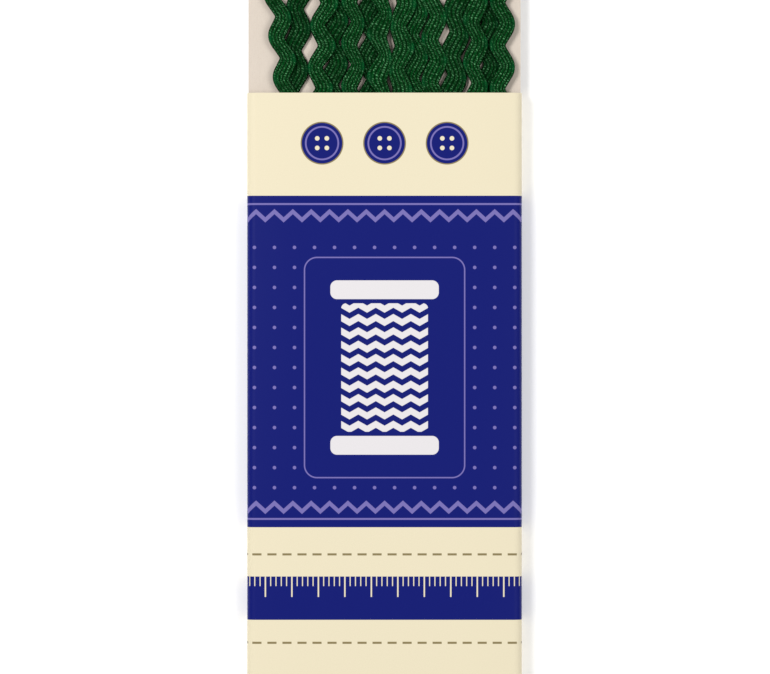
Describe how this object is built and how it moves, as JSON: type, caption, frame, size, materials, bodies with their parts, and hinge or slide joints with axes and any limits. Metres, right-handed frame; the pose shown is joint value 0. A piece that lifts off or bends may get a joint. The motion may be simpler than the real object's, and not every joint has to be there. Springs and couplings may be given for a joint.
{
  "type": "ric rac wound on a card with a paper band",
  "caption": "Green ric rac trimming wound lengthwise on a flat card and held by a wide paper band, lying on its back.",
  "frame": {"origin": "middle of the bounding box in X and Y, at its lowest level", "axes": "+X to the right of the face, +Y towards the top end, +Z out of the face"},
  "size_m": [0.0662, 0.1738, 0.007],
  "materials": {
    "fabric": "matt woven thread with a soft sheen",
    "cardboard": "matt uncoated board",
    "paper": "printed coated paper, soft satin"
  },
  "bodies": {
    "root": {"ric_rac": "fabric", "card": "cardboard", "band": "paper"}
  },
  "joints": []
}
